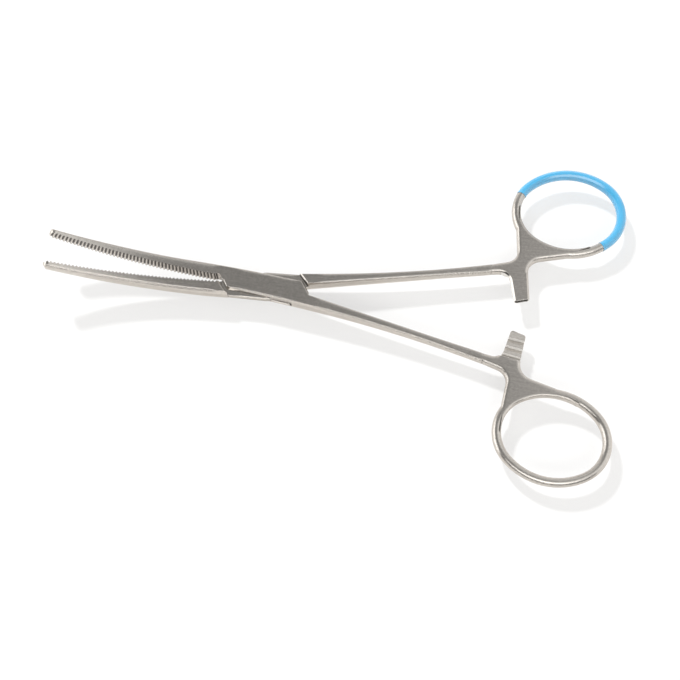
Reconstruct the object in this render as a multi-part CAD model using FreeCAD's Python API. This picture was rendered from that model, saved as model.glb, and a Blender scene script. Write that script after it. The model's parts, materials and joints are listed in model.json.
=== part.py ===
"""Curved box-lock haemostatic forceps: two forged halves, a flush pivot pin and a colour-code coat.

Millimetres, +Z up. The origin is on the pivot axis, at the underside of the box.
+X runs midway between the two handles, and the jaws point to -X and curve upwards.
Both halves are drawn with the jaws closed, about the plane midway through the box. The through
half has its handle on +Y and its jaw on -Y, and the box half the other way round. Then each is
turned by the rest angle, and everything is lifted so that the box stands on Z = 0.
"""
import FreeCAD
import Part
import math
import os
from FreeCAD import Vector

# Overall form, measured from the pivot axis
JAW_LENGTH = 60.4
BOX_THICKNESS = 5.0
REST_HALF_ANGLE = 4.0
OPEN_ANGLE = 130.0

# Jaw: flat serrated face, flat top and underside, convex outer side, curved upwards
JAW_CURVE_START = 15.0
JAW_TIP_RISE = 9.2
JAW_TIP_THICKNESS = 4.0
JAW_ROOT_FLAT = 2.75
JAW_TIP_FLAT = 0.95
JAW_ROOT_WIDTH = 3.45
JAW_TIP_WIDTH = 1.5
JAW_TIP_ROUND = 1.5
JAW_NOSE = 1.8
JAW_CURVE_STEPS = 4

# Serrations
SERRATION_START = 14.3
SERRATION_PITCH = 1.0
SERRATION_DEPTH = 0.45
SERRATION_FLAT = 0.1
SERRATION_GAP = 0.06
SERRATION_PHASE = 0.5

# Box lock: how far each end of the two shoulder lines lies along and across, jaws closed
FRONT_INNER_ALONG = 13.3
FRONT_INNER_ACROSS = 0.4
FRONT_OUTER_ALONG = 10.5
FRONT_OUTER_ACROSS = 3.4
REAR_OUTER_ALONG = 8.9
REAR_OUTER_ACROSS = 3.75
REAR_INNER_ALONG = 11.6
REAR_INNER_ACROSS = 0.3
SHOULDER_GAP = 0.05
SHOULDER_BEVEL = 0.4
SLOT_HEIGHT = 1.8
SLOT_CLEARANCE = 0.03
HUB_RADIUS = 3.9
HUB_CLEARANCE = 0.06
NECK_ROOTING = 1.0
NECK_ROOT_INSET = 1.5

# Pivot pin
PIN_RADIUS = 1.6
PIN_RUNNING_CLEARANCE = 0.03

# Shank
SHANK_ROOT = 12.0
SHANK_ROOT_OUTER = 4.05
SHANK_OUTER_SLOPE = 0.06
SHANK_OUTER_CURVE = 0.00125
SHANK_ROOT_INNER = 0.5
SHANK_INNER_SLOPE = 0.138
SHANK_SIDE_BULGE = 0.42
SHANK_TAPER_END = 58.0
SHANK_END = 62.0
SHANK_STEPS = 5

# Finger ring
RING_ALONG = 83.8
RING_ACROSS = 26.92
RING_HALF_LENGTH = 14.9
RING_HALF_WIDTH = 12.15
RING_END_RADIUS = 10.7
RING_TILT = 2.2
RING_BAR_WIDTH = 2.45
RING_BAR_HEIGHT = 3.0
RING_BAR_FLATS = 12

# Web between shank, ring and ratchet tongue; its edges meet and leave the ring at these angles
WEB_THICKNESS = 3.0
WEB_EDGE_BEVEL = 0.5
WEB_LIP = 0.25
WEB_RIGHT_JOIN_ANGLE = 268.0
WEB_RIGHT_RUN_OUT_ANGLE = 290.0
WEB_LEFT_JOIN_ANGLE = 204.0
WEB_LEFT_RUN_OUT_ANGLE = 168.0
WEB_OVERLAP = 4.0
WEB_LEFT = 69.6
WEB_CORNER_Y = 11.6
WEB_INNER_ROUND = 3.0
WEB_OUTER_ROUND = 3.6
WEB_RING_ROUND = 4.2
WEB_JOIN_ROUND = 8.0
RACK_LEFT = 67.0
RACK_RIGHT = 72.1
RACK_TIP_LEFT = 68.6
RACK_TIP_LEFT_REACH = 1.2
RACK_TIP_RIGHT = 72.8
RACK_TIP_RIGHT_REACH = 0.2
RACK_TIP_ROUND = 0.8

# Ratchet teeth
TOOTH_COUNT = 3
TOOTH_PITCH = 2.4
TOOTH_DEPTH = 0.9
TOOTH_FACE_RUN = 0.25
FIRST_CREST = 1.5
CREST_LIFT = 0.25
RUN_DOWN_LENGTH = 1.3
RUN_DOWN_STEPS = 5

# Colour-code coat
COAT_THICKNESS = 0.12
COAT_START_ANGLE = -60.0
COAT_END_ANGLE = 148.0

FRONT_INNER = Vector(-FRONT_INNER_ALONG, FRONT_INNER_ACROSS, 0)
FRONT_OUTER = Vector(-FRONT_OUTER_ALONG, -FRONT_OUTER_ACROSS, 0)
REAR_OUTER = Vector(REAR_OUTER_ALONG, REAR_OUTER_ACROSS, 0)
REAR_INNER = Vector(REAR_INNER_ALONG, REAR_INNER_ACROSS, 0)
RING_CENTRE = Vector(RING_ALONG, RING_ACROSS, 0)
RACK_TIP_INNER = Vector(RACK_TIP_LEFT, -RACK_TIP_LEFT_REACH, 0)
RACK_TIP_OUTER = Vector(RACK_TIP_RIGHT, -RACK_TIP_RIGHT_REACH, 0)
HALF_BOX = BOX_THICKNESS / 2
HALF_WEB = WEB_THICKNESS / 2
HALF_SLOT = SLOT_HEIGHT / 2
MESH = (SERRATION_DEPTH - SERRATION_FLAT - SERRATION_GAP) / 2
JAW_CURVE_RUN = JAW_LENGTH - JAW_CURVE_START
JAW_STATIONS = [SHANK_ROOT, 0.0] + [
    -JAW_CURVE_START - JAW_CURVE_RUN * step / JAW_CURVE_STEPS for step in range(JAW_CURVE_STEPS + 1)
]
BOX_STATIONS = [SHANK_ROOT + FRONT_INNER.x * step for step in (2, 1)]
SHANK_STATIONS = [
    SHANK_ROOT + (SHANK_END - SHANK_ROOT) * step / SHANK_STEPS for step in range(SHANK_STEPS + 1)
]
UP = Vector(0, 0, 1)
ACROSS = Vector(0, 1, 0)
FAR = 120.0
MARGIN = 1.0
RACK_OVERRUN = 3.0
RELIEF_DEPTH = 3.0
SIDE_OVERRUN = 0.4
TOLERANCE = 0.001


def prism(points, bottom, top):
    """A straight prism in Z over a polygon."""
    wire = Part.makePolygon([Vector(p.x, p.y, bottom) for p in points + points[:1]])
    return Part.Face(wire).extrude(UP * (top - bottom))


def rounded_wire(corners):
    """A closed wire through (point, radius) corners, each turned by a tangent arc."""
    edges = []
    ends = []
    count = len(corners)
    for index, (point, radius) in enumerate(corners):
        if not radius:
            ends.append((point, point))
            continue
        before = (corners[index - 1][0] - point).normalize()
        after = (corners[(index + 1) % count][0] - point).normalize()
        half_turn = before.getAngle(after) / 2
        bisector = (before + after).normalize()
        centre = point + bisector * (radius / math.sin(half_turn))
        first = point + before * (radius / math.tan(half_turn))
        last = point + after * (radius / math.tan(half_turn))
        edges.append(Part.Arc(first, centre - bisector * radius, last).toShape())
        ends.append((first, last))
    for index in range(count):
        start = ends[index][1]
        end = ends[(index + 1) % count][0]
        edges.append(Part.LineSegment(start, end).toShape())
    return Part.Wire(Part.sortEdges(edges)[0])


def mirrored(shape, normal):
    """The shape's mirror image in the plane through the pivot with this normal."""
    return shape.mirror(Vector(), normal)


def polar(radius, degrees):
    """A point in plan at a distance and bearing from the pivot."""
    return Vector(math.cos(math.radians(degrees)), math.sin(math.radians(degrees)), 0) * radius


def bearing(point):
    """Bearing of a plan point from the pivot, in degrees."""
    return math.degrees(math.atan2(point.y, point.x))


def jaw_arc_radius(side):
    """Radius of the arc that the top (+1) or underside (-1) of the jaw follows."""
    rise = JAW_TIP_RISE + side * (JAW_TIP_THICKNESS / 2 - HALF_BOX)
    return (JAW_CURVE_RUN ** 2 + rise ** 2) / (2 * rise)


def jaw_height(x, side):
    """Height of the jaw's top (+1) or underside (-1) at x, from the box's middle plane."""
    run = max(0.0, -JAW_CURVE_START - x)
    radius = jaw_arc_radius(side)
    return side * HALF_BOX + radius - math.sqrt(radius ** 2 - run ** 2)


def along_jaw(x, root, tip):
    """A size that runs evenly from the jaw's root to its tip."""
    share = max(0.0, -JAW_CURVE_START - x) / JAW_CURVE_RUN
    return root + (tip - root) * share


def side_arc(x, bottom, top, flat, full):
    """A convex side at x, at flat on both faces and full midway, drawn on past both faces."""
    half = (top - bottom) / 2
    middle = (top + bottom) / 2
    bulge = full - flat
    radius = (half ** 2 + bulge ** 2) / (2 * abs(bulge))
    reach = half + SIDE_OVERRUN
    back = radius - math.sqrt(radius ** 2 - reach ** 2)
    end = full - math.copysign(back, bulge)
    low = Vector(x, end, middle - reach)
    high = Vector(x, end, middle + reach)
    return Part.Arc(low, Vector(x, full, middle), high).toShape()


def closed_section(side_a, side_b):
    """A closed section from two side edges and the straight lines that join their ends."""
    low_a, high_a = sorted((v.Point for v in side_a.Vertexes), key=lambda p: p.z)
    low_b, high_b = sorted((v.Point for v in side_b.Vertexes), key=lambda p: p.z)
    top = Part.LineSegment(high_a, high_b).toShape()
    bottom = Part.LineSegment(low_b, low_a).toShape()
    return Part.Wire(Part.sortEdges([side_a, top, side_b, bottom])[0])


def beam(sections, profile):
    """A loft through sections given as pairs of side edges, cut to a profile face in XZ."""
    wires = [closed_section(side_a, side_b) for side_a, side_b in sections]
    band = profile.extrude(Vector(0, 2 * FAR, 0))
    return Part.makeLoft(wires, True).common(band)


def xz_point(x, z):
    """A point on the profile plane, well to the -Y side."""
    return Vector(x, -FAR, z)


def jaw_beam():
    """The jaw and the side of the box in line with it, with the convex side on +Y."""
    sections = []
    for x in JAW_STATIONS:
        bottom = jaw_height(x, -1)
        top = jaw_height(x, 1)
        flat = along_jaw(x, JAW_ROOT_FLAT, JAW_TIP_FLAT)
        full = along_jaw(x, JAW_ROOT_WIDTH, JAW_TIP_WIDTH)
        low = Vector(x, -MARGIN, bottom - SIDE_OVERRUN)
        high = Vector(x, -MARGIN, top + SIDE_OVERRUN)
        sections.append((Part.LineSegment(low, high).toShape(), side_arc(x, bottom, top, flat, full)))
    nose_x = -JAW_LENGTH + JAW_NOSE
    edges = [Part.LineSegment(xz_point(SHANK_ROOT, -HALF_BOX), xz_point(SHANK_ROOT, HALF_BOX)).toShape()]
    for side in (-1, 1):
        bend = xz_point(-JAW_CURVE_START, side * HALF_BOX)
        tip = xz_point(nose_x, jaw_height(nose_x, side))
        middle_x = (nose_x - JAW_CURVE_START) / 2
        middle = xz_point(middle_x, jaw_height(middle_x, side))
        edges.append(Part.Arc(bend, middle, tip).toShape())
        edges.append(Part.LineSegment(xz_point(SHANK_ROOT, side * HALF_BOX), bend).toShape())
    low_tip = xz_point(nose_x, jaw_height(nose_x, -1))
    high_tip = xz_point(nose_x, jaw_height(nose_x, 1))
    nose = xz_point(-JAW_LENGTH, JAW_TIP_RISE)
    edges.append(Part.Arc(low_tip, nose, high_tip).toShape())
    solid = beam(sections, Part.Face(Part.Wire(Part.sortEdges(edges)[0])))
    return solid.common(jaw_nose())


def jaw_nose():
    """The space that the jaw's tip, rounded as seen from above, leaves to the jaw."""
    plan = rounded_wire([
        (Vector(SHANK_ROOT + MARGIN, -MARGIN, 0), 0),
        (Vector(-JAW_LENGTH, -MARGIN, 0), 0),
        (Vector(-JAW_LENGTH, JAW_TIP_WIDTH, 0), JAW_TIP_ROUND),
        (Vector(-JAW_CURVE_START, JAW_ROOT_WIDTH + MARGIN, 0), 0),
        (Vector(SHANK_ROOT + MARGIN, JAW_ROOT_WIDTH + MARGIN, 0), 0),
    ])
    plan.translate(UP * -FAR)
    return Part.Face(plan).extrude(UP * 2 * FAR)


def shank_outer(x):
    """Outer side of the shank at x."""
    run = x - SHANK_ROOT
    return SHANK_ROOT_OUTER + SHANK_OUTER_SLOPE * run + SHANK_OUTER_CURVE * run ** 2


def shank_inner(x):
    """Inner side of the shank at x."""
    return SHANK_ROOT_INNER + SHANK_INNER_SLOPE * (x - SHANK_ROOT)


def shank_half_height(x):
    """Half the thickness of the shank at x."""
    share = min(1.0, max(0.0, (x - SHANK_ROOT) / (SHANK_TAPER_END - SHANK_ROOT)))
    return HALF_BOX + (HALF_WEB - HALF_BOX) * share


def shank_beam():
    """The shank and the side of the box in line with it, with its outer side on +Y."""
    sections = []
    for x in BOX_STATIONS + SHANK_STATIONS:
        half = shank_half_height(x)
        outer = shank_outer(x)
        inner = -MARGIN / 2 if x in BOX_STATIONS else shank_inner(x)
        edges = [
            side_arc(x, -half, half, inner + SHANK_SIDE_BULGE, inner),
            side_arc(x, -half, half, outer - SHANK_SIDE_BULGE, outer),
        ]
        sections.append(edges)
    outline = []
    for side in (-1, 1):
        row = [
            xz_point(-FAR, side * HALF_BOX),
            xz_point(SHANK_ROOT, side * HALF_BOX),
            xz_point(SHANK_TAPER_END, side * HALF_WEB),
            xz_point(FAR, side * HALF_WEB),
        ]
        outline += row[::side]
    return beam(sections, Part.Face(Part.makePolygon(outline + outline[:1])))


def shoulder(inner, outer):
    """Directions of a shoulder line: along it to the outer side, and across it from the pivot."""
    along = (outer - inner).normalize()
    away = along.cross(UP)
    return along, away * math.copysign(1.0, away.dot(inner))


def beyond(inner, outer, gap):
    """The space on the far side of a shoulder line, a gap past it as seen from the pivot."""
    along, away = shoulder(inner, outer)
    start = inner + away * gap - along * FAR
    end = inner + away * gap + along * FAR
    return prism([start, end, end + away * FAR, start + away * FAR], -FAR, FAR)


def trimmed(solid, inner, outer, gap, keep_beyond):
    """The solid on one side of a shoulder line, with the top and bottom edges there bevelled."""
    wall = beyond(inner, outer, gap)
    kept = solid.common(wall) if keep_beyond else solid.cut(wall)
    along, away = shoulder(inner, outer)
    into = (away if keep_beyond else -away) * SHOULDER_BEVEL
    edge = inner + away * gap - along * FAR
    tools = []
    for side in (-1, 1):
        corner = edge + UP * side * HALF_BOX
        step = UP * side * SHOULDER_BEVEL
        points = [corner - into - step * 2, corner + into * 2 + step, corner - into + step]
        tools.append(Part.Face(Part.makePolygon(points + points[:1])).extrude(along * 2 * FAR))
    return kept.cut(tools)


def ring_arcs():
    """The middle line of the ring's bar, long axis on X, as four tangent arcs.

    Each arc is given as its centre, its radius, and its first and last angle.
    """
    back = RING_HALF_LENGTH - RING_END_RADIUS
    square = back ** 2 + RING_HALF_WIDTH ** 2 - RING_END_RADIUS ** 2
    side_radius = square / (2 * (RING_HALF_WIDTH - RING_END_RADIUS))
    lift = side_radius - RING_HALF_WIDTH
    joint = math.degrees(math.atan2(lift, back))
    return [
        (Vector(back, 0, 0), RING_END_RADIUS, -joint, joint),
        (Vector(0, -lift, 0), side_radius, joint, 180 - joint),
        (Vector(-back, 0, 0), RING_END_RADIUS, 180 - joint, 180 + joint),
        (Vector(0, lift, 0), side_radius, 180 + joint, 360 - joint),
    ]


def arcs_between(first, last):
    """The stretch of the ring's middle line between two directions, in degrees from its long axis."""
    stretch = []
    for centre, radius, start, end in ring_arcs():
        for turn in (-360, 0):
            low = max(start + turn, first)
            high = min(end + turn, last)
            if high > low:
                stretch.append((centre, radius, low, high))
    return stretch


def ring_placed(shape):
    """A shape drawn about the ring's middle, turned and moved to the ring's place."""
    shape.rotate(Vector(), UP, RING_TILT)
    shape.translate(RING_CENTRE)
    return shape


def bar_section(grown):
    """The bar's section in YZ: an oval ground in flats, grown by a layer all round."""
    half_flat = math.pi / RING_BAR_FLATS
    half_width = (RING_BAR_WIDTH / 2 + grown) / math.cos(half_flat)
    half_height = (RING_BAR_HEIGHT / 2 + grown) / math.cos(half_flat)
    points = []
    for index in range(RING_BAR_FLATS):
        turn = (2 * index + 1) * half_flat
        points.append(Vector(0, half_width * math.sin(turn), half_height * math.cos(turn)))
    return Part.Face(Part.makePolygon(points + points[:1]))


def ring_bar(grown, arcs):
    """The ring's bar along these arcs of its middle line, each arc a turned solid."""
    section = bar_section(grown)
    pieces = []
    for centre, radius, first, last in arcs:
        face = section.translated(centre + ACROSS * radius)
        piece = face.revolve(centre, UP, last - first)
        piece.rotate(centre, UP, first - 90)
        pieces.append(piece)
    return ring_placed(pieces[0].fuse(pieces[1:]))


def ring_point(angle, inset):
    """The point of the ring's middle line at an angle from its long axis, drawn in by an inset."""
    centre, radius = next(arc[:2] for arc in ring_arcs() if (angle - arc[2]) % 360 <= arc[3] - arc[2])
    point = centre + polar(radius - inset, angle)
    return RING_CENTRE + polar(point.Length, bearing(point) + RING_TILT)


def ring_core(inset):
    """All that lies inside the ring's middle line, drawn in by an inset."""
    edges = []
    for centre, radius, first, last in ring_arcs():
        points = [centre + polar(radius - inset, angle) for angle in (first, (first + last) / 2, last)]
        edges.append(Part.Arc(*points).toShape())
    core = Part.Face(Part.Wire(edges)).extrude(UP * 2 * FAR)
    core.translate(UP * -FAR)
    return ring_placed(core)


def web():
    """The flat web that joins the shank, the ring and the ratchet tongue, with the handle on +Y.

    It reaches over the ring's bar to a lip at the opening, and runs out along the bar both ways.
    """
    start = SHANK_END - WEB_OVERLAP
    inset = SHANK_SIDE_BULGE
    reach = RING_BAR_WIDTH / 2 - WEB_LIP
    run_out = reach - WEB_EDGE_BEVEL
    outline = rounded_wire([
        (Vector(start, shank_inner(start) + inset, 0), 0),
        (Vector(RACK_LEFT, shank_inner(RACK_LEFT), 0), WEB_INNER_ROUND),
        (RACK_TIP_INNER, RACK_TIP_ROUND),
        (RACK_TIP_OUTER, RACK_TIP_ROUND),
        (Vector(RACK_RIGHT, WEB_CORNER_Y, 0), WEB_RING_ROUND),
        (ring_point(WEB_RIGHT_JOIN_ANGLE, -reach), WEB_JOIN_ROUND),
        (ring_point(WEB_RIGHT_RUN_OUT_ANGLE, run_out), 0),
        (RING_CENTRE, 0),
        (ring_point(WEB_LEFT_RUN_OUT_ANGLE, run_out), 0),
        (ring_point(WEB_LEFT_JOIN_ANGLE, -reach), WEB_JOIN_ROUND),
        (Vector(WEB_LEFT, shank_outer(WEB_LEFT), 0), WEB_OUTER_ROUND),
        (Vector(start, shank_outer(start) - inset, 0), 0),
    ])
    plate = Part.Face(outline).extrude(UP * WEB_THICKNESS)
    plate.translate(UP * -HALF_WEB)
    flat = [e for e in plate.Edges if e.BoundBox.ZLength < TOLERANCE]
    plate = plate.makeChamfer(WEB_EDGE_BEVEL, flat)
    return plate.cut(ring_core(reach))


def rack_tool(points, crest_y):
    """A cutter along the rack's width: (y, z) points from a crest, turned to point at the pivot."""
    low = RACK_LEFT - RACK_OVERRUN
    wire = Part.makePolygon([Vector(low, y, z) for y, z in points + points[:1]])
    tool = Part.Face(wire).extrude(Vector(RACK_RIGHT + RACK_OVERRUN - low, 0, 0))
    middle = (RACK_LEFT + RACK_RIGHT) / 2
    tool.rotate(Vector(), UP, math.degrees(crest_y / middle))
    return tool


def ratchet_cut():
    """What is milled from the top of the tongue: the crest level, the run-down and each tooth."""
    root = CREST_LIFT - TOOTH_DEPTH
    over = HALF_WEB + MARGIN
    last = FIRST_CREST + (TOOTH_COUNT - 1) * TOOTH_PITCH
    clear = FIRST_CREST + TOOTH_COUNT * TOOTH_PITCH + MARGIN
    rise = RUN_DOWN_LENGTH - TOOTH_FACE_RUN
    curve = [
        (TOOTH_FACE_RUN + rise * math.sin(turn), root + (HALF_WEB - root) * (1 - math.cos(turn)))
        for turn in [math.pi / 2 * step / RUN_DOWN_STEPS for step in range(RUN_DOWN_STEPS + 1)]
    ]
    level = [(0.0, CREST_LIFT)] + curve + [(RUN_DOWN_LENGTH, over), (-clear, over), (-clear, CREST_LIFT)]
    tools = [rack_tool(level, last)]
    for index in range(TOOTH_COUNT):
        foot = -TOOTH_PITCH + TOOTH_FACE_RUN
        back = [(-TOOTH_PITCH, CREST_LIFT)] if index else [(-clear, root), (-clear, CREST_LIFT)]
        ramp = [(0.0, CREST_LIFT), (foot, root)] + back
        ramp += [(ramp[-1][0], over), (0.0, over)]
        tools.append(rack_tool(ramp, FIRST_CREST + index * TOOTH_PITCH))
    return tools


def handle(teeth_up):
    """Shank, web, ring and ratchet tongue of one half, with its handle on +Y."""
    plate = web()
    tools = ratchet_cut()
    if not teeth_up:
        tools = [mirrored(tool, UP) for tool in tools]
    plate = plate.cut(tools)
    return [plate, ring_bar(0.0, ring_arcs())]


def serration_tools(shift):
    """V cutters across a flat face on -Y of the jaw, square to the curve of the jaw."""
    curve_radius = (jaw_arc_radius(1) + jaw_arc_radius(-1)) / 2
    centre = Vector(-JAW_CURVE_START, 0, curve_radius)
    bend = curve_radius * math.asin((JAW_LENGTH - JAW_CURVE_START) / curve_radius)
    length = JAW_CURVE_START + bend - SERRATION_START
    half = (SERRATION_PITCH - SERRATION_FLAT) / 2
    profile = [
        Vector(-half, -MESH, 0),
        Vector(0, -MESH + SERRATION_DEPTH, 0),
        Vector(half, -MESH, 0),
        Vector(half, -MESH - MARGIN, 0),
        Vector(-half, -MESH - MARGIN, 0),
    ]
    tools = []
    for index in range(int(length / SERRATION_PITCH) + 2):
        run = SERRATION_START + (index + shift) * SERRATION_PITCH - JAW_CURVE_START
        tool = Part.Face(Part.makePolygon(profile + profile[:1])).extrude(UP * 2 * BOX_THICKNESS)
        tool.translate(Vector(-JAW_CURVE_START - min(0.0, run), 0, -BOX_THICKNESS))
        tool.rotate(centre, Vector(0, 1, 0), math.degrees(max(0.0, run) / curve_radius))
        tools.append(tool)
    return tools


def serrated(solid, relief, shift):
    """A jaw on +Y with its contact side cut to the mesh plane, relieved at the root and serrated."""
    slide = (FRONT_OUTER - FRONT_INNER) * (RELIEF_DEPTH / (FRONT_INNER.y - FRONT_OUTER.y))
    outline = [
        Vector(FRONT_INNER.x, relief, 0),
        FRONT_INNER + slide,
        Vector(-FAR, (FRONT_INNER + slide).y, 0),
        Vector(-FAR, -MESH, 0),
        Vector(-SERRATION_START, -MESH, 0),
        Vector(-SERRATION_START, relief, 0),
    ]
    return solid.cut([prism(outline, -FAR, FAR)] + serration_tools(shift))


def tangent_bearing(point, side):
    """Bearing of the normal of the line from a point that just touches the hub."""
    return bearing(point) + side * math.degrees(math.acos(HUB_RADIUS / point.Length))


def neck_bearings():
    """Bearings of the neck's four flanks: front and rear ones that close, then those that open."""
    front_wall = tangent_bearing(FRONT_INNER, -1)
    rear_wall = tangent_bearing(REAR_INNER, -1)
    rear_free = tangent_bearing(REAR_OUTER, 1)
    front_free = tangent_bearing(FRONT_OUTER, 1)
    return front_wall, rear_free, rear_wall, front_free


def rooted(inner, outer):
    """Two points just inside the thick part beyond a shoulder line, near its ends."""
    along, away = shoulder(inner, outer)
    start = inner + away * NECK_ROOTING + along * NECK_ROOTING / 2
    end = outer + away * NECK_ROOTING - along * NECK_ROOT_INSET
    return start, end


def neck():
    """The flat neck of the through half, between the plates of the box."""
    front_wall, rear_free, rear_wall, front_free = neck_bearings()
    half = HALF_SLOT - SLOT_CLEARANCE
    front_start, front_end = rooted(FRONT_INNER, FRONT_OUTER)
    rear_start, rear_end = rooted(REAR_INNER, REAR_OUTER)
    hub_top = [polar(HUB_RADIUS, b) for b in (rear_free, (rear_free + front_wall) / 2, front_wall)]
    low_middle = (front_free + rear_wall) / 2
    hub_low = [polar(HUB_RADIUS, b) for b in (front_free, low_middle, rear_wall)]
    points = [hub_top[2], FRONT_INNER, front_start, front_end, FRONT_OUTER, hub_low[0]]
    edges = [Part.LineSegment(p, q).toShape() for p, q in zip(points, points[1:])]
    points = [hub_low[2], REAR_INNER, rear_start, rear_end, REAR_OUTER, hub_top[0]]
    edges += [Part.LineSegment(p, q).toShape() for p, q in zip(points, points[1:])]
    edges += [Part.Arc(*hub_top).toShape(), Part.Arc(*hub_low).toShape()]
    plate = Part.Face(Part.Wire(Part.sortEdges(edges)[0])).extrude(UP * 2 * half)
    plate.translate(UP * -half)
    return plate


def slot_wall(wall, free):
    """A side wall of the box: it ends where the neck's free flank arrives at full opening."""
    stop = free + OPEN_ANGLE
    reach = HUB_RADIUS + HUB_CLEARANCE
    apex = polar(reach / math.cos(math.radians((stop - wall) / 2)), (stop + wall) / 2)
    along = polar(FAR, wall + 90)
    across = polar(FAR, stop - 90)
    return prism([apex, apex + along, apex + along + across, apex + across], -FAR, FAR)


def slot():
    """The opening through the box that the neck passes and swings in."""
    front_wall, rear_free, rear_wall, front_free = neck_bearings()
    reach = 2 * JAW_CURVE_START
    corners = [Vector(-reach, -reach, 0), Vector(reach, -reach, 0)]
    corners += [Vector(reach, reach, 0), Vector(-reach, reach, 0)]
    slab = prism(corners, -HALF_SLOT, HALF_SLOT)
    outside = [
        beyond(FRONT_INNER, FRONT_OUTER, NECK_ROOTING),
        beyond(REAR_INNER, REAR_OUTER, NECK_ROOTING),
        slot_wall(front_wall, rear_free),
        slot_wall(rear_wall, front_free),
    ]
    return slab.cut(outside)


def pin(radius):
    """The pivot pin, ground flush with both plates."""
    return Part.makeCylinder(radius, BOX_THICKNESS, UP * -HALF_BOX)


def box_half():
    """The half whose jaw and handle are joined by the two plates of the box."""
    lower = trimmed(mirrored(shank_beam(), ACROSS), FRONT_INNER, FRONT_OUTER, 0.0, False)
    upper = trimmed(jaw_beam(), REAR_INNER, REAR_OUTER, 0.0, False)
    upper = serrated(upper, FRONT_INNER.y, SERRATION_PHASE)
    end = [mirrored(piece, ACROSS) for piece in handle(True)]
    return lower.fuse([upper] + end).cut([slot(), pin(PIN_RADIUS)]).removeSplitter()


def through_half():
    """The half that passes through the box, with the coated finger ring."""
    shank = trimmed(shank_beam(), REAR_INNER, REAR_OUTER, SHOULDER_GAP, True)
    jaw = serrated(jaw_beam(), -MESH, 0.0)
    jaw = trimmed(mirrored(jaw, ACROSS), FRONT_INNER, FRONT_OUTER, SHOULDER_GAP, True)
    bore = pin(PIN_RADIUS + PIN_RUNNING_CLEARANCE)
    return shank.fuse([jaw, neck()] + handle(False)).cut(bore).removeSplitter()


def coat():
    """The colour-code coat over most of the through half's ring."""
    arcs = arcs_between(COAT_START_ANGLE, COAT_END_ANGLE)
    return ring_bar(COAT_THICKNESS, arcs).cut(ring_bar(0.0, ring_arcs()))


def placed(shape, turn):
    """A piece turned from the closed position about the pivot, and lifted to stand on Z = 0."""
    shape.rotate(Vector(), UP, turn)
    shape.translate(UP * HALF_BOX)
    return shape


def main():
    """Build each piece and write one file for it."""
    os.makedirs("parts", exist_ok=True)
    pieces = {
        "box_half": placed(box_half(), -REST_HALF_ANGLE),
        "through_half": placed(through_half(), REST_HALF_ANGLE),
        "pivot_pin": placed(pin(PIN_RADIUS), 0.0),
        "ring_coat": placed(coat(), REST_HALF_ANGLE),
    }
    for name, shape in pieces.items():
        solids = shape.Solids
        solid = solids[0] if len(solids) == 1 else Part.makeCompound(solids)
        print(name, len(solids), "solids", round(shape.Volume, 2), shape.isValid(), len(shape.Faces), "faces")
        solid.exportStep("parts/" + name + ".step")


main()
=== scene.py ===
"""Looks for the curved box-lock haemostatic forceps: satin steel, a gloss blue coat and a plain studio."""

import json
import logging
import math
from dataclasses import dataclass, field
from enum import Enum
from typing import NamedTuple

import bmesh
import bpy
from mathutils import Matrix, Vector

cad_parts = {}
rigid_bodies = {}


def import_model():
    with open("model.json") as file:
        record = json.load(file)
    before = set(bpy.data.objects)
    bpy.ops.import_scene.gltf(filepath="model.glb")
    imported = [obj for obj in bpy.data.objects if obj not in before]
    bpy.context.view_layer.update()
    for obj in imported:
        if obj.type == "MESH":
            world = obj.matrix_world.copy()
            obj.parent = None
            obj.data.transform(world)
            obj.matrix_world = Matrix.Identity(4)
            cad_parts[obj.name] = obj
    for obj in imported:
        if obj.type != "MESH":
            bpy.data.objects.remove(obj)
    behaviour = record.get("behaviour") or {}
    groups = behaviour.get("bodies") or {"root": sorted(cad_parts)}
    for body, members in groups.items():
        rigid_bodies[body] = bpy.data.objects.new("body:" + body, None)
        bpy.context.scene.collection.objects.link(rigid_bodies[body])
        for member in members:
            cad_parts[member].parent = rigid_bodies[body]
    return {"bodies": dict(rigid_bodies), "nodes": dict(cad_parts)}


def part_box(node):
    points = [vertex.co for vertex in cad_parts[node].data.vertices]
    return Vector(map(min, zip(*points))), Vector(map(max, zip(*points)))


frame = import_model()

log = logging.getLogger("forceps")

Colour = tuple[float, float, float]

MM = 0.001

RIGHT = Vector((1.0, 0.0, 0.0))
LEFT = Vector((-1.0, 0.0, 0.0))
FRONT = Vector((0.0, -1.0, 0.0))
BACK = Vector((0.0, 1.0, 0.0))
UP = Vector((0.0, 0.0, 1.0))

# The zones of a half that lies along X, with its jaw towards -X.
JAW_START = -12.5 * MM
JAW_TEETH_REACH = (0.7 * MM, 1.12 * MM)
RACK_START = 65.0 * MM
RACK_REACH = 7.9 * MM
SHOULDER_MIDDLE = 11.3 * MM
SHOULDER_REACH = (2.4 * MM, 4.4 * MM)

# A face is a side where the upward share of its normal is less than this.
SIDE_SLOPE = 0.6
# An edge is fully polished where its normal turns so far that the cosine is this.
POLISHED_TURN = 0.8
# A groove is painted fully in shade where only this share of the light reaches it.
FULL_SHADE_LIGHT = 0.62
# The share of the painted groove shade that stays on the ratchet, and the share of a gap's reach at the
# shoulders.
RACK_SHADE = 0.15
SHOULDER_GAP = 0.4

# The scales of the grain's noises, per metre, and the share of the scratches in the haze.
CLOUD_SCALE = 140.0
LINE_SCALE = 2600.0
SPECK_SCALE = 1500.0
SCRATCH_SHARE = 0.45

# How many rays an edge or a groove is found with.
EFFECT_SAMPLES = 8


class GrainDirection(Enum):
    """How far the grain of a piece turns from +X about +Z, in degrees."""

    BOX_HALF = -4.0
    THROUGH_HALF = 4.0
    PIN = 40.0


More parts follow.
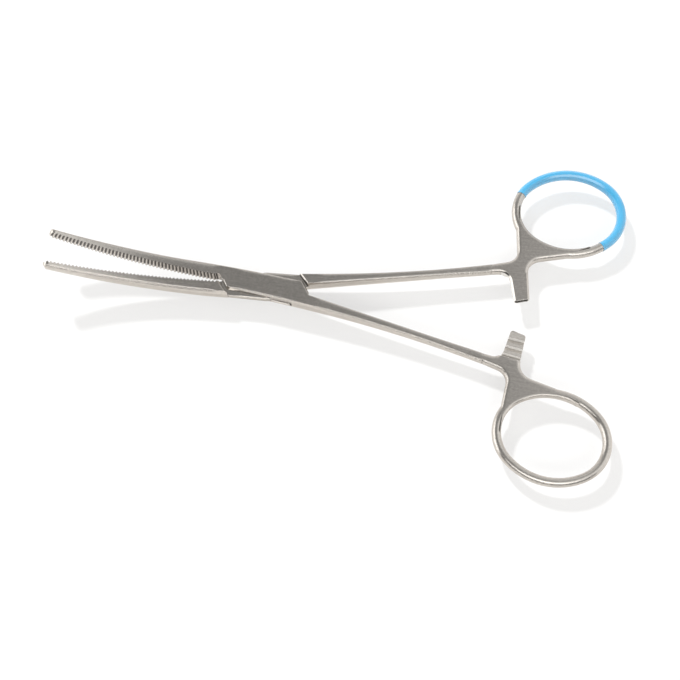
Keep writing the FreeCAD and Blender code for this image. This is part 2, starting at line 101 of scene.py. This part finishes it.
class Zones(NamedTuple):
    """Sockets of masks that tell which zone of a half a point is in.

    Attributes:
        jaw: 1 on the jaw.
        teeth: 1 at the jaw's contact face.
        rack: 1 on the ratchet tongue.
        shoulder: 1 at the shoulders, where the two halves meet.
    """

    jaw: bpy.types.NodeSocket
    teeth: bpy.types.NodeSocket
    rack: bpy.types.NodeSocket
    shoulder: bpy.types.NodeSocket


@dataclass(frozen=True)
class RoomSlope:
    """A side of a part of the room: a gradual step of the light along one axis.

    Attributes:
        axis: the axis along which the level changes.
        full: how far along it the part has its own level.
        none: how far along it the part ends.
    """

    axis: Vector
    full: float
    none: float


class Wiring:
    """Adds nodes to one node tree and wires them."""

    def __init__(self, tree: bpy.types.NodeTree) -> None:
        """Keep the tree to build in.

        Args:
            tree: the node tree of a material, a world or a node group.
        """
        self.tree = tree

    def node(
        self,
        kind: str,
        values: dict[str, object] | None = None,
        **settings: object,
    ) -> bpy.types.Node:
        """Add a node.

        Args:
            kind: the node's type name.
            values: input values by socket name.
            settings: node properties by name.

        Returns:
            The new node.
        """
        made = self.tree.nodes.new(kind)
        for name, setting in settings.items():
            setattr(made, name, setting)
        for name, value in (values or {}).items():
            made.inputs[name].default_value = value
        return made

    def link(self, source: bpy.types.NodeSocket, target: bpy.types.NodeSocket) -> None:
        """Wire a source socket to a target socket."""
        self.tree.links.new(source, target)

    def math(
        self,
        operation: str,
        first: bpy.types.NodeSocket,
        second: bpy.types.NodeSocket | float,
    ) -> bpy.types.NodeSocket:
        """Combine two values.

        Args:
            operation: the math node's operation.
            first: the first value's socket.
            second: the second value's socket, or a number.

        Returns:
            The result's socket.
        """
        made = self.node("ShaderNodeMath", operation=operation)
        self.link(first, made.inputs[0])
        if isinstance(second, (int, float)):
            made.inputs[1].default_value = second
        else:
            self.link(second, made.inputs[1])
        return made.outputs[0]

    def unsigned(self, value: bpy.types.NodeSocket) -> bpy.types.NodeSocket:
        """Drop a value's sign and return the result's socket."""
        return self.math("ABSOLUTE", value, 0.0)

    def mix_colours(
        self,
        factor: bpy.types.NodeSocket,
        first: bpy.types.NodeSocket | Colour,
        second: Colour,
    ) -> bpy.types.NodeSocket:
        """Mix two colours.

        Args:
            factor: the share of the second colour.
            first: the first colour, or its socket.
            second: the second colour.

        Returns:
            The mixed colour's socket.
        """
        made = self.node("ShaderNodeMix", data_type="RGBA")
        sockets = {s.identifier: s for s in (*made.inputs, *made.outputs)}
        self.link(factor, sockets["Factor_Float"])
        if isinstance(first, tuple):
            sockets["A_Color"].default_value = (*first, 1.0)
        else:
            self.link(first, sockets["A_Color"])
        sockets["B_Color"].default_value = (*second, 1.0)
        return sockets["Result_Color"]

    def blend(
        self,
        factor: bpy.types.NodeSocket,
        first: bpy.types.NodeSocket,
        second: bpy.types.NodeSocket,
    ) -> bpy.types.NodeSocket:
        """Mix two values.

        Args:
            factor: the share of the second value.
            first: the first value's socket.
            second: the second value's socket.

        Returns:
            The mixed value's socket.
        """
        made = self.node("ShaderNodeMix", data_type="FLOAT")
        self.link(factor, made.inputs["Factor"])
        self.link(first, made.inputs["A"])
        self.link(second, made.inputs["B"])
        return made.outputs["Result"]

    def within(self, distance: bpy.types.NodeSocket, reach: tuple[float, float]) -> bpy.types.NodeSocket:
        """Tell how far a distance lies within a reach.

        Args:
            distance: the distance's socket.
            reach: where the result starts to fall from 1, and where it ends at 0.

        Returns:
            The result's socket.
        """
        made = self.node("ShaderNodeMapRange", {
            "From Min": reach[0], "From Max": reach[1], "To Min": 1.0, "To Max": 0.0,
        })
        self.link(distance, made.inputs["Value"])
        return made.outputs["Result"]

    def zones(self, direction: bpy.types.NodeSocket) -> Zones:
        """Tell the jaw, its contact face, the ratchet tongue and the shoulders of a half apart.

        Args:
            direction: the rotation that lays the half along X.

        Returns:
            The masks' sockets.
        """
        place = self.node("ShaderNodeTexCoord")
        turned = self.node("ShaderNodeMapping")
        self.link(place.outputs["Object"], turned.inputs["Vector"])
        self.link(direction, turned.inputs["Rotation"])
        axes = self.node("ShaderNodeSeparateXYZ")
        self.link(turned.outputs["Vector"], axes.inputs["Vector"])
        across = self.unsigned(axes.outputs["Y"])
        jaw = self.math("LESS_THAN", axes.outputs["X"], JAW_START)
        face = self.within(across, JAW_TEETH_REACH)
        rack = self.math("GREATER_THAN", axes.outputs["X"], RACK_START)
        tongue = self.math("LESS_THAN", across, RACK_REACH)
        along = self.unsigned(axes.outputs["X"])
        offset = self.unsigned(self.math("SUBTRACT", along, SHOULDER_MIDDLE))
        return Zones(
            jaw,
            self.math("MULTIPLY", jaw, face),
            self.math("MULTIPLY", rack, tongue),
            self.within(offset, SHOULDER_REACH),
        )

    def room_share(
        self,
        place: bpy.types.NodeSocket,
        slopes: tuple[RoomSlope, ...],
    ) -> bpy.types.NodeSocket:
        """Tell how far a direction lies within the sides of a part of the room.

        Args:
            place: the direction's socket.
            slopes: the sides.

        Returns:
            The socket of a value that is 1 within all sides and 0 beyond any of them.
        """
        shares = []
        for slope in slopes:
            along = self.node("ShaderNodeVectorMath", operation="DOT_PRODUCT")
            along.inputs[1].default_value = slope.axis
            self.link(place, along.inputs[0])
            share = self.node("ShaderNodeMapRange", {
                "From Min": slope.none, "From Max": slope.full,
            }, interpolation_type="SMOOTHSTEP")
            self.link(along.outputs["Value"], share.inputs["Value"])
            shares.append(share.outputs["Result"])
        product = shares[0]
        for share in shares[1:]:
            product = self.math("MULTIPLY", product, share)
        return product

    def spread(self, source: bpy.types.NodeSocket, low: float, high: float) -> bpy.types.NodeSocket:
        """Map a value from 0 to 1 onto a range.

        Args:
            source: the value's socket.
            low: the result at 0.
            high: the result at 1.

        Returns:
            The result's socket.
        """
        made = self.node("ShaderNodeMapRange", {"To Min": low, "To Max": high})
        self.link(source, made.inputs["Value"])
        return made.outputs["Result"]


class EffectGroup:
    """A shader node group with named inputs and outputs, built once."""

    def __init__(self, name: str, inputs: dict[str, str], outputs: dict[str, str]) -> None:
        """Make the group and its sockets.

        Args:
            name: the group's name.
            inputs: socket type by input name.
            outputs: socket type by output name.
        """
        self.tree = bpy.data.node_groups.new(name, "ShaderNodeTree")
        for label, kind in inputs.items():
            self.tree.interface.new_socket(name=label, in_out="INPUT", socket_type=kind)
        for label, kind in outputs.items():
            self.tree.interface.new_socket(name=label, in_out="OUTPUT", socket_type=kind)
        self.wiring = Wiring(self.tree)
        self.inlet = self.wiring.node("NodeGroupInput")
        self.outlet = self.wiring.node("NodeGroupOutput")

    def place(self, wiring: Wiring, values: dict[str, object]) -> bpy.types.Node:
        """Place the group in a material.

        Args:
            wiring: the material's wiring.
            values: input values by name.

        Returns:
            The group's node in that material.
        """
        return wiring.node("ShaderNodeGroup", values, node_tree=self.tree)


def round_edge_group() -> EffectGroup:
    """Build the effect of a hand-polished edge.

    The sides and the jaws are rounded most, toothed parts and shoulders little, and the pin's rim not
    at all.

    Returns:
        The group: a normal that turns evenly over each sharp edge, a mask of the edges, and a mask of
        the ratchet's steps, painted dull white as a painted highlight in place of their reflection.
    """
    group = EffectGroup(
        "polished_edge",
        {
            "Direction": "NodeSocketVector",
            "Width": "NodeSocketFloat",
            "Side Width": "NodeSocketFloat",
            "Shoulder Width": "NodeSocketFloat",
            "Jaw Width": "NodeSocketFloat",
            "Tooth Width": "NodeSocketFloat",
            "Rack Width": "NodeSocketFloat",
            "Flush Radius": "NodeSocketFloat",
        },
        {"Normal": "NodeSocketVector", "Mask": "NodeSocketFloat", "Rack Glint": "NodeSocketFloat"},
    )
    wiring = group.wiring
    bevel = wiring.node("ShaderNodeBevel", samples=EFFECT_SAMPLES)
    plain = wiring.node("ShaderNodeNewGeometry")
    place = wiring.node("ShaderNodeTexCoord")
    level = wiring.node("ShaderNodeVectorMath", operation="MULTIPLY")
    level.inputs[1].default_value = (1.0, 1.0, 0.0)
    wiring.link(place.outputs["Object"], level.inputs[0])
    reach = wiring.node("ShaderNodeVectorMath", operation="LENGTH")
    wiring.link(level.outputs["Vector"], reach.inputs[0])
    outside = wiring.math("GREATER_THAN", reach.outputs["Value"], group.inlet.outputs["Flush Radius"])
    zones = wiring.zones(group.inlet.outputs["Direction"])
    facing = wiring.node("ShaderNodeSeparateXYZ")
    wiring.link(place.outputs["Normal"], facing.inputs["Vector"])
    side = wiring.math("LESS_THAN", wiring.unsigned(facing.outputs["Z"]), SIDE_SLOPE)
    top_width = wiring.blend(zones.jaw, group.inlet.outputs["Width"], group.inlet.outputs["Jaw Width"])
    shaped_width = wiring.blend(side, top_width, group.inlet.outputs["Side Width"])
    plain_width = wiring.blend(zones.shoulder, shaped_width, group.inlet.outputs["Shoulder Width"])
    jaw_width = wiring.blend(zones.teeth, plain_width, group.inlet.outputs["Tooth Width"])
    width = wiring.blend(zones.rack, jaw_width, group.inlet.outputs["Rack Width"])
    wiring.link(wiring.math("MULTIPLY", outside, width), bevel.inputs["Radius"])
    turn = wiring.node("ShaderNodeVectorMath", operation="DOT_PRODUCT")
    wiring.link(bevel.outputs["Normal"], turn.inputs[0])
    wiring.link(plain.outputs["Normal"], turn.inputs[1])
    mask = wiring.node("ShaderNodeMapRange", {"From Min": 1.0, "From Max": POLISHED_TURN})
    wiring.link(turn.outputs["Value"], mask.inputs["Value"])
    step = wiring.math("MAXIMUM", side, mask.outputs["Result"])
    wiring.link(bevel.outputs["Normal"], group.outlet.inputs["Normal"])
    wiring.link(mask.outputs["Result"], group.outlet.inputs["Mask"])
    # mask of the ratchet's steps, which carry a painted highlight
    wiring.link(wiring.math("MULTIPLY", zones.rack, step), group.outlet.inputs["Rack Glint"])
    return group


def satin_grain_group() -> EffectGroup:
    """Build the effect of satin grinding: fine scratches that run one way.

    Returns:
        The group: the height of the scratches, a value that varies with them, and how light their
        lines are.
    """
    group = EffectGroup(
        "satin_grain",
        {"Direction": "NodeSocketVector", "Fineness": "NodeSocketFloat", "Stretch": "NodeSocketFloat"},
        {"Height": "NodeSocketFloat", "Haze": "NodeSocketFloat", "Shade": "NodeSocketFloat"},
    )
    wiring = group.wiring
    place = wiring.node("ShaderNodeTexCoord")
    turned = wiring.node("ShaderNodeMapping")
    wiring.link(place.outputs["Object"], turned.inputs["Vector"])
    wiring.link(group.inlet.outputs["Direction"], turned.inputs["Rotation"])
    squeeze = wiring.node("ShaderNodeCombineXYZ", {"Y": 1.0, "Z": 1.0})
    wiring.link(group.inlet.outputs["Stretch"], squeeze.inputs["X"])
    drawn = wiring.node("ShaderNodeVectorMath", operation="MULTIPLY")
    wiring.link(turned.outputs["Vector"], drawn.inputs[0])
    wiring.link(squeeze.outputs["Vector"], drawn.inputs[1])
    scratches = wiring.node("ShaderNodeTexNoise", {"Detail": 4.0, "Roughness": 0.65})
    wiring.link(drawn.outputs["Vector"], scratches.inputs["Vector"])
    wiring.link(group.inlet.outputs["Fineness"], scratches.inputs["Scale"])
    cloud = wiring.node("ShaderNodeTexNoise", {"Scale": CLOUD_SCALE, "Detail": 3.0, "Roughness": 0.55})
    wiring.link(turned.outputs["Vector"], cloud.inputs["Vector"])
    lines = wiring.node("ShaderNodeTexNoise", {"Scale": LINE_SCALE, "Detail": 3.0, "Roughness": 0.6})
    wiring.link(drawn.outputs["Vector"], lines.inputs["Vector"])
    specks = wiring.node("ShaderNodeTexNoise", {"Scale": SPECK_SCALE, "Detail": 3.0, "Roughness": 0.6})
    wiring.link(turned.outputs["Vector"], specks.inputs["Vector"])
    shade = wiring.node("ShaderNodeMix", {"Factor": 0.5}, data_type="FLOAT")
    wiring.link(lines.outputs["Fac"], shade.inputs["A"])
    wiring.link(specks.outputs["Fac"], shade.inputs["B"])
    wiring.link(shade.outputs["Result"], group.outlet.inputs["Shade"])
    mixed = wiring.node("ShaderNodeMix", {"Factor": SCRATCH_SHARE}, data_type="FLOAT")
    wiring.link(cloud.outputs["Fac"], mixed.inputs["A"])
    wiring.link(scratches.outputs["Fac"], mixed.inputs["B"])
    wiring.link(scratches.outputs["Fac"], group.outlet.inputs["Height"])
    wiring.link(mixed.outputs["Result"], group.outlet.inputs["Haze"])
    return group


def painted_shade_group() -> EffectGroup:
    """Build the painted shade of grooves and gaps, where little light reaches.

    Returns:
        The group: a mask of painted shade in the grooves, widest between the teeth of the jaws.
    """
    group = EffectGroup(
        "painted_groove_shade",
        {"Direction": "NodeSocketVector", "Reach": "NodeSocketFloat", "Tooth Reach": "NodeSocketFloat"},
        {"Mask": "NodeSocketFloat"},
    )
    wiring = group.wiring
    zones = wiring.zones(group.inlet.outputs["Direction"])
    # painted shade: how little light reaches a point sets how dark it is painted
    shelter = wiring.node("ShaderNodeAmbientOcclusion", samples=EFFECT_SAMPLES, only_local=True)
    gap_share = wiring.spread(zones.shoulder, 1.0, SHOULDER_GAP)
    gap = wiring.math("MULTIPLY", group.inlet.outputs["Reach"], gap_share)
    reach = wiring.blend(zones.teeth, gap, group.inlet.outputs["Tooth Reach"])
    wiring.link(reach, shelter.inputs["Distance"])
    mask = wiring.node("ShaderNodeMapRange", {"From Min": 1.0, "From Max": FULL_SHADE_LIGHT})
    wiring.link(shelter.outputs["AO"], mask.inputs["Value"])
    shade_share = wiring.spread(zones.rack, 1.0, RACK_SHADE)
    wiring.link(wiring.math("MULTIPLY", mask.outputs["Result"], shade_share), group.outlet.inputs["Mask"])
    return group


@dataclass(frozen=True)
class Effects:
    """The effects that the materials share.

    Attributes:
        edge: the polished edge.
        grain: the satin grain.
        groove: the painted shade in grooves and gaps.
    """

    edge: EffectGroup
    grain: EffectGroup
    groove: EffectGroup


@dataclass(frozen=True)
class SatinSteel:
    """Ground and polished stainless steel.

    Attributes:
        name: the material's name.
        direction: how the grain runs.
        flush_radius: the radius about the pivot inside which no edge shows, in metres.
        dark_colour: the metal's colour in the darkest lines of the grain.
        light_colour: the metal's colour in the lightest lines of the grain.
        roughness: the lowest and the highest roughness of the ground faces.
        edge_colour: the metal's colour on the polished edges.
        edge_roughness: the roughness of the polished edges.
        edge_width: the radius to which the edges are polished, in metres.
        side_width: the same on the sides.
        shoulder_edge_width: the same at the shoulders.
        jaw_edge_width: the same on the jaws.
        tooth_edge_width: the same between the teeth of the jaws.
        rack_edge_width: the same on the ratchet.
        rack_glint_colour: the dull white painted on the ratchet's steps as a painted highlight.
        groove_shade_colour: the near-black painted shade in grooves and gaps.
        gap_reach: how wide a gap is, in metres.
        groove_reach: how wide a groove between the teeth of the jaws is.
        grain_fineness: the scale of the grain's scratches, per metre.
        grain_stretch: the scratches' scale along the grain as a share of that.
        grain_strength: how much of the grain's relief shows.
        grain_depth: the depth of its scratches, in metres.
    """

    name: str
    direction: GrainDirection
    flush_radius: float = 2.4 * MM
    dark_colour: Colour = (0.36, 0.345, 0.327)
    light_colour: Colour = (0.84, 0.805, 0.763)
    roughness: tuple[float, float] = (0.13, 0.25)
    edge_colour: Colour = (0.75, 0.715, 0.675)
    edge_roughness: float = 0.16
    edge_width: float = 1.0 * MM
    side_width: float = 2.2 * MM
    shoulder_edge_width: float = 0.3 * MM
    jaw_edge_width: float = 1.8 * MM
    tooth_edge_width: float = 0.09 * MM
    rack_edge_width: float = 0.16 * MM
    rack_glint_colour: Colour = (0.90, 0.88, 0.85)
    groove_shade_colour: Colour = (0.045, 0.04, 0.036)
    gap_reach: float = 0.5 * MM
    groove_reach: float = 0.7 * MM
    grain_fineness: float = 9000.0
    grain_stretch: float = 0.04
    grain_strength: float = 0.18
    grain_depth: float = 0.02 * MM

    def build(self, effects: Effects) -> bpy.types.Material:
        """Build the material.

        Args:
            effects: the effects that the materials share.

        Returns:
            The material.
        """
        material = bpy.data.materials.new(self.name)
        material.use_nodes = True
        wiring = Wiring(material.node_tree)
        shader = material.node_tree.nodes["Principled BSDF"]
        turn = math.radians(-self.direction.value)
        edges = effects.edge.place(wiring, {
            "Direction": (0.0, 0.0, turn),
            "Width": self.edge_width,
            "Side Width": self.side_width,
            "Shoulder Width": self.shoulder_edge_width,
            "Jaw Width": self.jaw_edge_width,
            "Tooth Width": self.tooth_edge_width,
            "Rack Width": self.rack_edge_width,
            "Flush Radius": self.flush_radius,
        })
        lines = effects.grain.place(wiring, {
            "Direction": (0.0, 0.0, turn),
            "Fineness": self.grain_fineness,
            "Stretch": self.grain_stretch,
        })
        grooves = effects.groove.place(wiring, {
            "Direction": (0.0, 0.0, turn),
            "Reach": self.gap_reach,
            "Tooth Reach": self.groove_reach,
        })
        ground = wiring.mix_colours(lines.outputs["Shade"], self.dark_colour, self.light_colour)
        polished = wiring.mix_colours(edges.outputs["Mask"], ground, self.edge_colour)
        # painted highlight: the ratchet's steps are painted dull white and not metallic, in place of the
        # reflection of their polished faces
        glinted = wiring.mix_colours(edges.outputs["Rack Glint"], polished, self.rack_glint_colour)
        wiring.link(wiring.spread(edges.outputs["Rack Glint"], 1.0, 0.0), shader.inputs["Metallic"])
        # painted shade: grooves and gaps are painted near black where little light reaches them
        shaded_colour = wiring.mix_colours(grooves.outputs["Mask"], glinted, self.groove_shade_colour)
        wiring.link(shaded_colour, shader.inputs["Base Color"])
        satin = wiring.spread(lines.outputs["Haze"], *self.roughness)
        rough = wiring.node("ShaderNodeMix", {"B": self.edge_roughness}, data_type="FLOAT")
        wiring.link(edges.outputs["Mask"], rough.inputs["Factor"])
        wiring.link(satin, rough.inputs["A"])
        wiring.link(rough.outputs["Result"], shader.inputs["Roughness"])
        relief = {"Strength": self.grain_strength, "Distance": self.grain_depth}
        bump = wiring.node("ShaderNodeBump", relief)
        wiring.link(lines.outputs["Height"], bump.inputs["Height"])
        wiring.link(edges.outputs["Normal"], bump.inputs["Normal"])
        wiring.link(bump.outputs["Normal"], shader.inputs["Normal"])
        return material


@dataclass(frozen=True)
class GlossCoat:
    """The dipped colour-code coat.

    Attributes:
        name: the material's name.
        colour: the coat's colour.
        deep_colour: the colour where the coat is thicker.
        roughness: the lowest and the highest roughness.
        gloss: the weight of the clear top layer, and the reflection level under it.
        gloss_roughness: the top layer's roughness.
        edge_width: the width over which the coat's ends are rounded, in metres.
        wave_fineness: the scale of the coat's faint waves, per metre.
        wave_strength: how much of their relief shows.
        wave_depth: their depth in metres.
    """

    name: str
    colour: Colour = (0.068, 0.44, 0.76)
    deep_colour: Colour = (0.045, 0.385, 0.69)
    roughness: tuple[float, float] = (0.12, 0.2)
    gloss: float = 1.0
    gloss_roughness: float = 0.06
    edge_width: float = 0.3 * MM
    wave_fineness: float = 700.0
    wave_strength: float = 0.1
    wave_depth: float = 0.03 * MM

    def build(self, effects: Effects) -> bpy.types.Material:
        """Build the material: the edge effect rounds the coat, and the grain gives its faint waves.

        Args:
            effects: the effects that the materials share.

        Returns:
            The material.
        """
        material = bpy.data.materials.new(self.name)
        material.use_nodes = True
        wiring = Wiring(material.node_tree)
        shader = material.node_tree.nodes["Principled BSDF"]
        shader.inputs["Coat Weight"].default_value = self.gloss
        shader.inputs["Specular IOR Level"].default_value = self.gloss
        shader.inputs["Coat Roughness"].default_value = self.gloss_roughness
        widths = ("Width", "Side Width", "Shoulder Width", "Jaw Width", "Tooth Width", "Rack Width")
        edges = effects.edge.place(wiring, {label: self.edge_width for label in widths})
        waves = effects.grain.place(wiring, {"Fineness": self.wave_fineness, "Stretch": 1.0})
        tint = wiring.mix_colours(waves.outputs["Haze"], self.deep_colour, self.colour)
        wiring.link(tint, shader.inputs["Base Color"])
        wiring.link(wiring.spread(waves.outputs["Haze"], *self.roughness), shader.inputs["Roughness"])
        relief = {"Strength": self.wave_strength, "Distance": self.wave_depth}
        bump = wiring.node("ShaderNodeBump", relief)
        wiring.link(waves.outputs["Height"], bump.inputs["Height"])
        wiring.link(edges.outputs["Normal"], bump.inputs["Normal"])
        wiring.link(bump.outputs["Normal"], shader.inputs["Normal"])
        return material


@dataclass
class DressedPart:
    """One CAD node and its finish.

    Attributes:
        node: the CAD node's name.
        finish: its finish.
    """

    node: str
    finish: SatinSteel | GlossCoat

    def dress(self, effects: Effects) -> bpy.types.Object:
        """Give the node its material.

        Args:
            effects: the effects that the materials share.

        Returns:
            The node's object.
        """
        part = frame["nodes"][self.node]
        part.data.materials.clear()
        part.data.materials.append(self.finish.build(effects))
        log.info("%s: %s, %d faces", self.node, self.finish.name, len(part.data.polygons))
        return part


@dataclass
class Forceps:
    """The dressed forceps.

    Attributes:
        parts: the CAD nodes with their finishes.
    """

    parts: list[DressedPart] = field(default_factory=lambda: [
        DressedPart("box_half", SatinSteel("box_half_steel", GrainDirection.BOX_HALF)),
        DressedPart("through_half", SatinSteel("through_half_steel", GrainDirection.THROUGH_HALF)),
        DressedPart("pivot_pin", SatinSteel("pivot_pin_steel", GrainDirection.PIN)),
        DressedPart("ring_coat", GlossCoat("ring_coat_blue")),
    ])

    def build(self) -> list[bpy.types.Object]:
        """Dress every part.

        Returns:
            The dressed objects.
        """
        effects = Effects(round_edge_group(), satin_grain_group(), painted_shade_group())
        return [part.dress(effects) for part in self.parts]


@dataclass
class Studio:
    """A pale floor, soft light and the camera.

    Attributes:
        camera_place: the camera's position in metres.
        aim: the point at the middle of the picture.
        roll: how far the camera leans, in degrees.
        focal_length: in millimetres on the sensor below.
        sensor: the sensor's width in millimetres.
        near_clip: how near to the camera the picture starts, in metres.
        overhead: the sides of the dim part overhead, which the flat tops mirror.
        overhead_level: its light level.
        horizon: the sides of the dim strip low in front, which shows as a dark line along the near sides.
        horizon_level: its light level.
        front: the sides of the bright part in front, which the near edges mirror.
        front_level: its light level.
        left: the sides of the bright part low at the left, which the shoulders mirror.
        left_level: its light level.
        back: the sides of the part behind, which the far edges and the ratchet mirror.
        back_level: its light level.
        room_colour: the colour of the room's light.
        key_place: the key lamp's position in metres.
        key_size: its width in metres.
        key_power: its power in watts.
        floor_drop: how far the floor lies below the forceps, as on a clear sheet, in metres.
        floor_reach: half the floor's width in metres.
        floor_colour: the floor's own colour.
        floor_glow: the share of the floor that is seen white whatever the shadow.
        floor_mirror_colour: the warm white of that share in reflections.
    """

    camera_place: Vector = field(default_factory=lambda: Vector((34.06, -116.46, 321.09)) * MM)
    aim: Vector = field(default_factory=lambda: Vector((22.05, -11.98, 0.0)) * MM)
    roll: float = 0.785
    focal_length: float = 64.79
    sensor: float = 36.0
    near_clip: float = 10.0 * MM
    overhead: tuple[RoomSlope, ...] = (
        RoomSlope(RIGHT, 0.0, 0.4),
        RoomSlope(LEFT, 0.75, 0.9),
        RoomSlope(BACK, 0.42, 0.75),
        RoomSlope(FRONT, 0.45, 0.6),
    )
    overhead_level: float = 0.32
    horizon: tuple[RoomSlope, ...] = (
        RoomSlope(FRONT, 0.55, 0.36),
        RoomSlope(UP, 0.46, 0.56),
    )
    horizon_level: float = 0.08
    front: tuple[RoomSlope, ...] = (
        RoomSlope(FRONT, 0.58, 0.48),
        RoomSlope(UP, 0.56, 0.46),
    )
    front_level: float = 2.7
    left: tuple[RoomSlope, ...] = (
        RoomSlope(LEFT, 0.88, 0.78),
        RoomSlope(UP, 0.4, 0.6),
    )
    left_level: float = 2.2
    back: tuple[RoomSlope, ...] = (RoomSlope(BACK, 0.6, 0.4),)
    back_level: float = 0.78
    room_colour: Colour = (1.0, 0.985, 0.96)
    key_place: Vector = field(default_factory=lambda: Vector((-0.57, 0.71, 0.92)))
    key_size: float = 0.1
    key_power: float = 11.5
    floor_drop: float = 3.0 * MM
    floor_reach: float = 8.0
    floor_colour: Colour = (0.94, 0.94, 0.94)
    floor_glow: float = 0.54
    floor_mirror_colour: Colour = (1.0, 0.93, 0.86)

    def clear(self) -> None:
        """Remove the objects of Blender's start-up file."""
        kept = set(frame["nodes"].values()) | set(frame["bodies"].values())
        for leftover in [o for o in bpy.data.objects if o not in kept]:
            bpy.data.objects.remove(leftover)

    def floor(self) -> bpy.types.Object:
        """Build the floor.

        Returns:
            The floor's object.
        """
        shape = bmesh.new()
        bmesh.ops.create_grid(shape, x_segments=1, y_segments=1, size=self.floor_reach)
        mesh = bpy.data.meshes.new("floor")
        shape.to_mesh(mesh)
        shape.free()
        floor = bpy.data.objects.new("floor", mesh)
        floor.location.z = -self.floor_drop
        bpy.context.scene.collection.objects.link(floor)
        floor.data.materials.append(self.floor_material())
        return floor

    def floor_material(self) -> bpy.types.Material:
        """Build the floor's material, white to the camera and in reflections, with a soft shadow.

        Returns:
            The material.
        """
        material = bpy.data.materials.new("floor")
        material.use_nodes = True
        wiring = Wiring(material.node_tree)
        material.node_tree.nodes.remove(material.node_tree.nodes["Principled BSDF"])
        paper = wiring.node("ShaderNodeBsdfDiffuse", {"Color": (*self.floor_colour, 1.0)})
        glow = wiring.node("ShaderNodeEmission", {"Strength": 1.0})
        path = wiring.node("ShaderNodeLightPath")
        white = (1.0, 1.0, 1.0)
        tint = wiring.mix_colours(path.outputs["Is Glossy Ray"], white, self.floor_mirror_colour)
        wiring.link(tint, glow.inputs["Color"])
        seen = wiring.math("MAXIMUM", path.outputs["Is Camera Ray"], path.outputs["Is Glossy Ray"])
        seen = wiring.math("MAXIMUM", seen, path.outputs["Is Transmission Ray"])
        share = wiring.math("MULTIPLY", seen, self.floor_glow)
        mix = wiring.node("ShaderNodeMixShader")
        wiring.link(share, mix.inputs["Fac"])
        wiring.link(paper.outputs["BSDF"], mix.inputs[1])
        wiring.link(glow.outputs["Emission"], mix.inputs[2])
        wiring.link(mix.outputs["Shader"], material.node_tree.nodes["Material Output"].inputs["Surface"])
        return material

    def world(self) -> None:
        """Light the room.

        It is bright all round, brightest in front and low at the left, dim overhead, dark low in
        front, and a little dim behind.
        """
        world = bpy.data.worlds.new("studio")
        bpy.context.scene.world = world
        world.use_nodes = True
        wiring = Wiring(world.node_tree)
        background = world.node_tree.nodes["Background"]
        place = wiring.node("ShaderNodeTexCoord").outputs["Generated"]
        level = wiring.spread(wiring.room_share(place, self.front), 1.0, self.front_level)
        for slopes, part_level in (
            (self.left, self.left_level),
            (self.overhead, self.overhead_level),
            (self.horizon, self.horizon_level),
            (self.back, self.back_level),
        ):
            share = wiring.room_share(place, slopes)
            level = wiring.math("MULTIPLY", level, wiring.spread(share, 1.0, part_level))
        wiring.link(level, background.inputs["Strength"])
        background.inputs["Color"].default_value = (*self.room_colour, 1.0)

    def key_lamp(self) -> bpy.types.Object:
        """Build the lamp that makes the shadow, aimed at the forceps and hidden from reflections.

        Returns:
            The lamp's object.
        """
        light = bpy.data.lights.new("key", "AREA")
        light.size = self.key_size
        light.energy = self.key_power
        made = bpy.data.objects.new("key", light)
        made.location = self.key_place
        made.visible_glossy = False
        made.rotation_euler = (self.aim - self.key_place).to_track_quat("-Z", "Y").to_euler()
        bpy.context.scene.collection.objects.link(made)
        return made

    def camera(self) -> bpy.types.Object:
        """Build the camera at the photograph's viewing angle.

        Returns:
            The camera's object.
        """
        data = bpy.data.cameras.new("camera")
        data.lens = self.focal_length
        data.sensor_width = self.sensor
        data.clip_start = self.near_clip
        made = bpy.data.objects.new("camera", data)
        bpy.context.scene.collection.objects.link(made)
        look = (self.aim - self.camera_place).to_track_quat("-Z", "Y").to_matrix().to_4x4()
        lean = Matrix.Rotation(math.radians(self.roll), 4, "Z")
        made.matrix_world = Matrix.Translation(self.camera_place) @ look @ lean
        bpy.context.scene.camera = made
        return made

    def build(self) -> None:
        """Build the floor, the light and the camera."""
        self.clear()
        self.floor()
        self.world()
        self.key_lamp()
        self.camera()
        bpy.context.scene.view_settings.view_transform = "Standard"


def main() -> None:
    """Build the studio and the forceps."""
    logging.basicConfig(level=logging.INFO, format="%(message)s")
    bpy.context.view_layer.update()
    Studio().build()
    for part in Forceps().build():
        low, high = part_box(part.name)
        log.info("%s spans %s mm", part.name, [round(span / MM, 2) for span in high - low])


if __name__ == "__main__":
    main()
